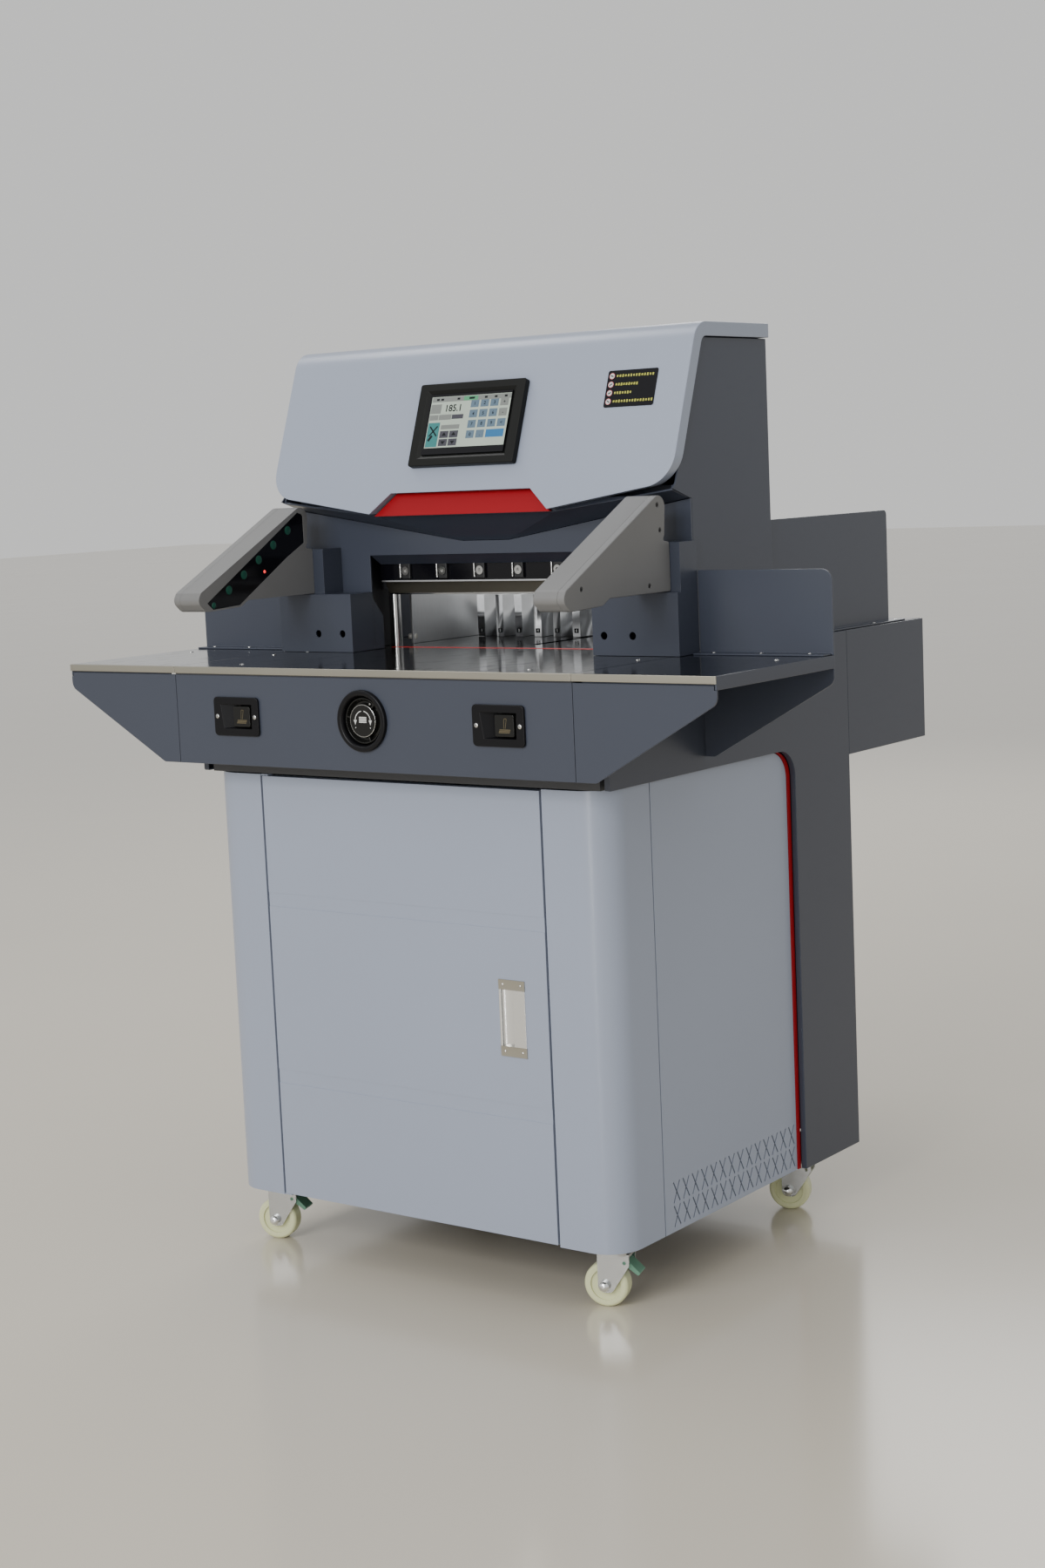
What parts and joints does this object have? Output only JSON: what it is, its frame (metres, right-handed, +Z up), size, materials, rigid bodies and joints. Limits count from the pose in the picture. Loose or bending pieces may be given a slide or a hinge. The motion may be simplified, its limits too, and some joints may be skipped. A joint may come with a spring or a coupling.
{
  "type": "guillotine paper cutter",
  "caption": "Programmed guillotine paper cutter: wheeled cabinet, flat table with side wings, leaning head over a paper window, slanted-travel knife, clamp and comb back gauge.",
  "frame": {"origin": "on the floor under the middle of the bounding box", "axes": "+Z up, +X to the operator's right, the operator stands at -Y and the paper goes in along +Y"},
  "size_m": [1.15, 0.962, 1.344],
  "materials": {
    "pale_paint": "satin pale blue-grey paint",
    "dark_paint": "satin dark grey paint",
    "red_paint": "satin red paint",
    "frame_paint": "black paint",
    "bed_casting": "painted casting",
    "black_plastic": "fine grain",
    "handle_chrome": "polished",
    "table_steel": "dark polished",
    "stick_plastic": "red",
    "strip_metal": "brushed champagne",
    "button_plastic": "smoked",
    "screen": "touch screen",
    "black_gloss": "gloss",
    "arm_plastic": "fine grain grey",
    "blade_steel": "ground",
    "bright_steel": "bright",
    "gauge_metal": "machined",
    "caster_zinc": "zinc plated",
    "caster_nylon": "cream nylon",
    "pedal_plastic": "green"
  },
  "bodies": {
    "machine": {"corner_panels": "pale_paint", "side_panel_left": "pale_paint", "side_panel_right": "pale_paint", "hood": "pale_paint", "side_casing_left": "dark_paint", "side_casing_right": "dark_paint", "rear_box": "dark_paint", "back_panel": "dark_paint", "tower_shell": "dark_paint", "chin_panel": "dark_paint", "apron": "dark_paint", "wing_brackets": "dark_paint", "side_guards": "dark_paint", "rear_guards": "dark_paint", "curtain_brackets": "dark_paint", "front_cover": "dark_paint", "trim_stripes": "red_paint", "hood_insert": "red_paint", "stand_frame": "frame_paint", "hydraulic_unit": "frame_paint", "knife_cylinder": "frame_paint", "machine_bed": "bed_casting", "side_cheeks": "bed_casting", "mains_inlet": "black_plastic", "control_housings": "black_plastic", "control_bezel": "black_plastic", "work_table": "table_steel", "side_table_left": "table_steel", "side_table_right": "table_steel", "cut_stick": "stick_plastic", "edge_strips": "strip_metal", "control_screen": "screen", "data_plate": "black_gloss", "curtain_windows": "black_gloss", "curtain_arm_left": "arm_plastic", "curtain_arm_right": "arm_plastic", "caster_plates": "caster_zinc"},
    "door": {"door_panel": "pale_paint", "door_handle": "handle_chrome"},
    "knife": {"knife_beam": "bed_casting", "knife_blade": "blade_steel", "knife_bolts": "bright_steel", "knife_ram": "bright_steel"},
    "clamp": {"clamp_beam": "bed_casting", "clamp_rods": "bright_steel"},
    "gauge": {"back_gauge": "gauge_metal"},
    "screw": {"lead_screw": "bright_steel"},
    "knob": {"hand_knob": "black_plastic"},
    "button_left": {"cut_button_left": "button_plastic"},
    "button_right": {"cut_button_right": "button_plastic"},
    "swivel_front_left": {"caster_fork_front_left": "caster_zinc"},
    "wheel_front_left": {"caster_wheel_front_left": "caster_nylon"},
    "pedal_front_left": {"brake_pedal_front_left": "pedal_plastic"},
    "swivel_front_right": {"caster_fork_front_right": "caster_zinc"},
    "wheel_front_right": {"caster_wheel_front_right": "caster_nylon"},
    "pedal_front_right": {"brake_pedal_front_right": "pedal_plastic"},
    "swivel_rear_left": {"caster_fork_rear_left": "caster_zinc"},
    "wheel_rear_left": {"caster_wheel_rear_left": "caster_nylon"},
    "swivel_rear_right": {"caster_fork_rear_right": "caster_zinc"},
    "wheel_rear_right": {"caster_wheel_rear_right": "caster_nylon"}
  },
  "joints": [
    {"name": "door_hinge", "type": "hinge", "parent": "machine", "child": "door", "pos_m": [-0.247, -0.409, 0.4], "axis": [0, 0, -1], "range_deg": [0, 100]},
    {"name": "knife_slide", "type": "slide", "parent": "machine", "child": "knife", "axis": [-0.2588, 0, -0.9659], "range_m": [0, 0.0835]},
    {"name": "clamp_slide", "type": "slide", "parent": "machine", "child": "clamp", "axis": [0, 0, -1], "range_m": [0, 0.0874]},
    {"name": "gauge_slide", "type": "slide", "parent": "machine", "child": "gauge", "axis": [0, 1, 0], "range_m": [-0.15, 0.205]},
    {"name": "screw_spin", "type": "hinge", "parent": "machine", "child": "screw", "pos_m": [0, 0.125, 0.86], "axis": [0, 1, 0], "continuous": true},
    {"name": "knob_spin", "type": "hinge", "parent": "machine", "child": "knob", "pos_m": [0, -0.475, 0.819], "axis": [0, -1, 0], "continuous": true},
    {"name": "button_left_press", "type": "slide", "parent": "machine", "child": "button_left", "axis": [0, 1, 0], "range_m": [0, 0.0035], "stiffness_N_per_m": 900},
    {"name": "button_right_press", "type": "slide", "parent": "machine", "child": "button_right", "axis": [0, 1, 0], "range_m": [0, 0.0035], "stiffness_N_per_m": 900},
    {"name": "swivel_front_left_turn", "type": "hinge", "parent": "machine", "child": "swivel_front_left", "pos_m": [-0.306, -0.357, 0.076], "axis": [0, 0, 1], "continuous": true},
    {"name": "wheel_front_left_roll", "type": "hinge", "parent": "swivel_front_left", "child": "wheel_front_left", "pos_m": [-0.31748, -0.36051, 0.03175], "axis": [-0.2924, 0.9563, 0], "continuous": true},
    {"name": "pedal_front_left_press", "type": "hinge", "parent": "swivel_front_left", "child": "pedal_front_left", "pos_m": [-0.28974, -0.35203, 0.066], "axis": [-0.2924, 0.9563, 0], "range_deg": [0, 15]},
    {"name": "swivel_front_right_turn", "type": "hinge", "parent": "machine", "child": "swivel_front_right", "pos_m": [0.306, -0.357, 0.076], "axis": [0, 0, 1], "continuous": true},
    {"name": "wheel_front_right_roll", "type": "hinge", "parent": "swivel_front_right", "child": "wheel_front_right", "pos_m": [0.29452, -0.36051, 0.03175], "axis": [-0.2924, 0.9563, 0], "continuous": true},
    {"name": "pedal_front_right_press", "type": "hinge", "parent": "swivel_front_right", "child": "pedal_front_right", "pos_m": [0.32226, -0.35203, 0.066], "axis": [-0.2924, 0.9563, 0], "range_deg": [0, 15]},
    {"name": "swivel_rear_left_turn", "type": "hinge", "parent": "machine", "child": "swivel_rear_left", "pos_m": [-0.306, 0.143, 0.076], "axis": [0, 0, 1], "continuous": true},
    {"name": "wheel_rear_left_roll", "type": "hinge", "parent": "swivel_rear_left", "child": "wheel_rear_left", "pos_m": [-0.31748, 0.13949, 0.03175], "axis": [-0.2924, 0.9563, 0], "continuous": true},
    {"name": "swivel_rear_right_turn", "type": "hinge", "parent": "machine", "child": "swivel_rear_right", "pos_m": [0.306, 0.143, 0.076], "axis": [0, 0, 1], "continuous": true},
    {"name": "wheel_rear_right_roll", "type": "hinge", "parent": "swivel_rear_right", "child": "wheel_rear_right", "pos_m": [0.29452, 0.13949, 0.03175], "axis": [-0.2924, 0.9563, 0], "continuous": true}
  ],
  "couplings": [
    {"joint": "screw_spin", "follows": "gauge_slide", "rad_per_m": 1256.6}
  ]
}
